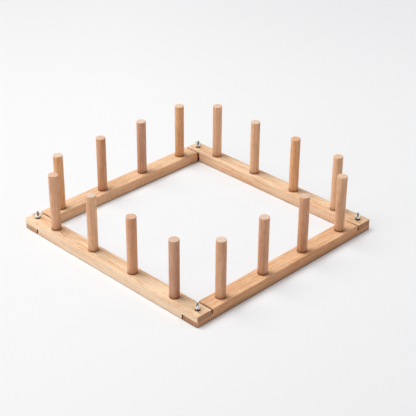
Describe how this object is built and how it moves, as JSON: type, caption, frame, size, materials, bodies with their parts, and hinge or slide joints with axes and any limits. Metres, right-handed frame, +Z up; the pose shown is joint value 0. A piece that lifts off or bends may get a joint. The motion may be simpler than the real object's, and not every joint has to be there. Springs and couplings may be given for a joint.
{
  "type": "warping board",
  "caption": "Flat square frame of half-lapped wooden rails with upright round pegs along every side, for measuring out warp yarn; a bolt and wing nut clamps each corner.",
  "frame": {"origin": "centre of the square frame, on the surface that it rests on", "axes": "+Z up along the pegs; +X along the front and back rails, towards the right rail; +Y along the left and right rails, towards the back rail. Left and right rails carry the upper tongues of the lapped corners."},
  "size_m": [0.54, 0.54, 0.158],
  "materials": {
    "rail_wood": "satin",
    "peg_wood": "satin",
    "zinc_steel": "bright zinc plating",
    "dark_steel": "dark"
  },
  "bodies": {
    "frame": {"front_rail": "rail_wood", "back_rail": "rail_wood", "left_rail": "rail_wood", "right_rail": "rail_wood", "front_peg_1": "peg_wood", "front_peg_2": "peg_wood", "front_peg_3": "peg_wood", "front_peg_4": "peg_wood", "back_peg_1": "peg_wood", "back_peg_2": "peg_wood", "back_peg_3": "peg_wood", "back_peg_4": "peg_wood", "left_peg_1": "peg_wood", "left_peg_2": "peg_wood", "left_peg_3": "peg_wood", "left_peg_4": "peg_wood", "right_peg_1": "peg_wood", "right_peg_2": "peg_wood", "right_peg_3": "peg_wood", "right_peg_4": "peg_wood", "front_left_bolt": "zinc_steel", "front_right_bolt": "zinc_steel", "back_left_bolt": "zinc_steel", "back_right_bolt": "zinc_steel"},
    "front_left_washer_body": {"front_left_washer": "dark_steel"},
    "front_left_nut_body": {"front_left_wing_nut": "zinc_steel"},
    "front_right_washer_body": {"front_right_washer": "dark_steel"},
    "front_right_nut_body": {"front_right_wing_nut": "zinc_steel"},
    "back_left_washer_body": {"back_left_washer": "dark_steel"},
    "back_left_nut_body": {"back_left_wing_nut": "zinc_steel"},
    "back_right_washer_body": {"back_right_washer": "dark_steel"},
    "back_right_nut_body": {"back_right_wing_nut": "zinc_steel"}
  },
  "joints": [
    {"name": "front_left_nut_turn", "type": "hinge", "parent": "frame", "child": "front_left_washer_body", "pos_m": [-0.25, -0.25, 0.025], "axis": [0, 0, 1], "range_deg": [0, 6300]},
    {"name": "front_left_nut_climb", "type": "slide", "parent": "front_left_washer_body", "child": "front_left_nut_body", "axis": [0, 0, 1], "range_m": [0, 0.01401]},
    {"name": "front_right_nut_turn", "type": "hinge", "parent": "frame", "child": "front_right_washer_body", "pos_m": [0.25, -0.25, 0.025], "axis": [0, 0, 1], "range_deg": [0, 6300]},
    {"name": "front_right_nut_climb", "type": "slide", "parent": "front_right_washer_body", "child": "front_right_nut_body", "axis": [0, 0, 1], "range_m": [0, 0.01401]},
    {"name": "back_left_nut_turn", "type": "hinge", "parent": "frame", "child": "back_left_washer_body", "pos_m": [-0.25, 0.25, 0.025], "axis": [0, 0, 1], "range_deg": [0, 6300]},
    {"name": "back_left_nut_climb", "type": "slide", "parent": "back_left_washer_body", "child": "back_left_nut_body", "axis": [0, 0, 1], "range_m": [0, 0.01401]},
    {"name": "back_right_nut_turn", "type": "hinge", "parent": "frame", "child": "back_right_washer_body", "pos_m": [0.25, 0.25, 0.025], "axis": [0, 0, 1], "range_deg": [0, 6300]},
    {"name": "back_right_nut_climb", "type": "slide", "parent": "back_right_washer_body", "child": "back_right_nut_body", "axis": [0, 0, 1], "range_m": [0, 0.01401]}
  ],
  "couplings": [
    {"joint": "front_left_nut_climb", "follows": "front_left_nut_turn", "m_per_rad": 0.00012732},
    {"joint": "front_right_nut_climb", "follows": "front_right_nut_turn", "m_per_rad": 0.00012732},
    {"joint": "back_left_nut_climb", "follows": "back_left_nut_turn", "m_per_rad": 0.00012732},
    {"joint": "back_right_nut_climb", "follows": "back_right_nut_turn", "m_per_rad": 0.00012732}
  ]
}
